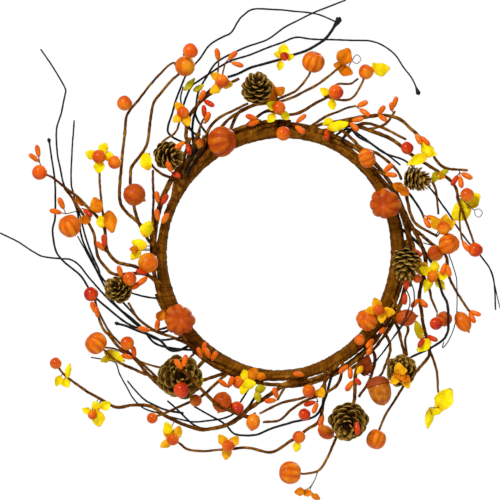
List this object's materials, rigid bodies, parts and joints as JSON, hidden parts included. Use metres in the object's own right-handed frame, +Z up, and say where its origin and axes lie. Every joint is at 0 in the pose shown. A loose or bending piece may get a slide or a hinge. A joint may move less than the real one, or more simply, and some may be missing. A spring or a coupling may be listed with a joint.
{
  "type": "harvest door wreath",
  "caption": "Twig door wreath on a taped wire hoop, with foam pumpkins, berries, pine cones and an acorn; sweeping vines and outer sprigs that bend.",
  "frame": {"origin": "the hanger's seat: the inner top of the taped ring, in the ring's mid-plane", "axes": "+Z up the door, +Y into the door, -Y towards the viewer, +X to the viewer's right"},
  "size_m": [0.4467, 0.0507, 0.4337],
  "materials": {
    "steel_wire": "plain florist's wire, inside the tape",
    "olive_tape": "crepe paper tape, matt, with wound ridges",
    "brown_twig": "paper-wrapped wire, matt",
    "black_vine": "dark waxed paper over wire",
    "pumpkin_orange": "painted foam, satin",
    "pumpkin_rust": "painted foam, matt, darker",
    "berry_orange": "lacquered foam, orange with a red blush",
    "berry_red": "lacquered foam, red",
    "cone_brown": "natural pine cone scales",
    "acorn_brown": "varnished"
  },
  "bodies": {
    "wreath": {"acorn": "acorn_brown", "ball_gourd_left": "pumpkin_orange", "berry_ring_top": "berry_orange", "berry_top_right": "berry_red", "cone_bottom": "cone_brown", "cone_left": "cone_brown", "cone_lower_left": "cone_brown", "cone_lower_right": "cone_brown", "cone_right_upper": "cone_brown", "cone_ring_right": "cone_brown", "cone_top": "cone_brown", "cone_upper_left": "cone_brown", "gourd_bottom_left": "pumpkin_rust", "gourd_left": "pumpkin_rust", "gourd_right_dark": "pumpkin_rust", "gourd_right_long": "pumpkin_orange", "hoop_wire": "steel_wire", "pumpkin_far_left": "pumpkin_orange", "pumpkin_right": "pumpkin_orange", "pumpkin_right_low": "pumpkin_rust", "pumpkin_ring_lower_left": "pumpkin_rust", "pumpkin_ring_lower_right": "pumpkin_orange", "pumpkin_ring_right": "pumpkin_rust", "pumpkin_ring_upper_left": "pumpkin_rust", "pumpkin_upper_right": "pumpkin_orange", "ring_wrap": "olive_tape", "twig_arch": "brown_twig", "twig_bottom": "brown_twig", "twig_bottom_left": "brown_twig", "twig_left": "brown_twig", "twig_low_left": "brown_twig", "twig_right": "brown_twig", "twig_right_lower": "brown_twig", "twig_top": "brown_twig", "twig_top_right": "brown_twig", "vine_left_far": "black_vine", "vine_left_high": "black_vine", "vine_right": "black_vine", "vine_top_high": "black_vine", "vine_top_long": "black_vine", "vine_top_outer": "black_vine"},
    "left_tip_sprig": {"sprig_left_tip": "brown_twig", "berry_left_tip": "berry_red"},
    "arch_sprig": {"sprig_arch": "brown_twig", "ball_gourd_arch": "pumpkin_orange", "berry_arch": "berry_red"},
    "top_sprig": {"sprig_top": "brown_twig", "pumpkin_top": "pumpkin_orange"},
    "top_tip_sprig": {"sprig_top_tip": "brown_twig", "berry_top_tip": "berry_orange"},
    "right_tip_sprig": {"sprig_right_tip": "brown_twig", "berry_right_tip": "berry_red"},
    "bottom_right_sprig": {"sprig_bottom_right": "brown_twig", "pumpkin_bottom_right": "pumpkin_orange"},
    "bottom_sprig": {"sprig_bottom": "brown_twig", "pumpkin_bottom": "pumpkin_orange"},
    "low_left_tip_sprig": {"sprig_low_left_tip": "brown_twig", "berry_low_left_tip": "berry_orange"},
    "low_left_sprig": {"sprig_low_left": "brown_twig", "pumpkin_low_left": "pumpkin_orange"}
  },
  "joints": [
    {"name": "left_tip_bend", "type": "hinge", "parent": "wreath", "child": "left_tip_sprig", "pos_m": [-0.19264, -0.01381, -0.04329], "axis": [0.5201, 0, 0.8541], "range_deg": [-10, 45]},
    {"name": "arch_bend", "type": "hinge", "parent": "wreath", "child": "arch_sprig", "pos_m": [-0.14003, -0.01094, 0.00851], "axis": [0.7258, 0, -0.6879], "range_deg": [-8, 40]},
    {"name": "top_bend", "type": "hinge", "parent": "wreath", "child": "top_sprig", "pos_m": [-0.00946, -0.00493, 0.03483], "axis": [0.677, 0, -0.736], "range_deg": [-10, 45]},
    {"name": "top_tip_bend", "type": "hinge", "parent": "wreath", "child": "top_tip_sprig", "pos_m": [0.04253, -0.0079, 0.03914], "axis": [0.5549, 0, -0.8319], "range_deg": [-10, 45]},
    {"name": "right_tip_bend", "type": "hinge", "parent": "wreath", "child": "right_tip_sprig", "pos_m": [0.15883, -0.01293, -0.05353], "axis": [-0.9465, 0, -0.3228], "range_deg": [-10, 45]},
    {"name": "bottom_right_bend", "type": "hinge", "parent": "wreath", "child": "bottom_right_sprig", "pos_m": [0.11126, -0.00697, -0.21857], "axis": [-0.8832, 0, 0.4691], "range_deg": [-10, 45]},
    {"name": "bottom_bend", "type": "hinge", "parent": "wreath", "child": "bottom_sprig", "pos_m": [0.04919, -0.00594, -0.26754], "axis": [-0.5908, 0, 0.8068], "range_deg": [-10, 45]},
    {"name": "low_left_tip_bend", "type": "hinge", "parent": "wreath", "child": "low_left_tip_sprig", "pos_m": [-0.17559, -0.01194, -0.22428], "axis": [0.678, 0, 0.735], "range_deg": [-10, 45]},
    {"name": "low_left_bend", "type": "hinge", "parent": "wreath", "child": "low_left_sprig", "pos_m": [-0.14157, -0.00688, -0.20122], "axis": [0.6209, 0, 0.7839], "range_deg": [-10, 45]}
  ]
}
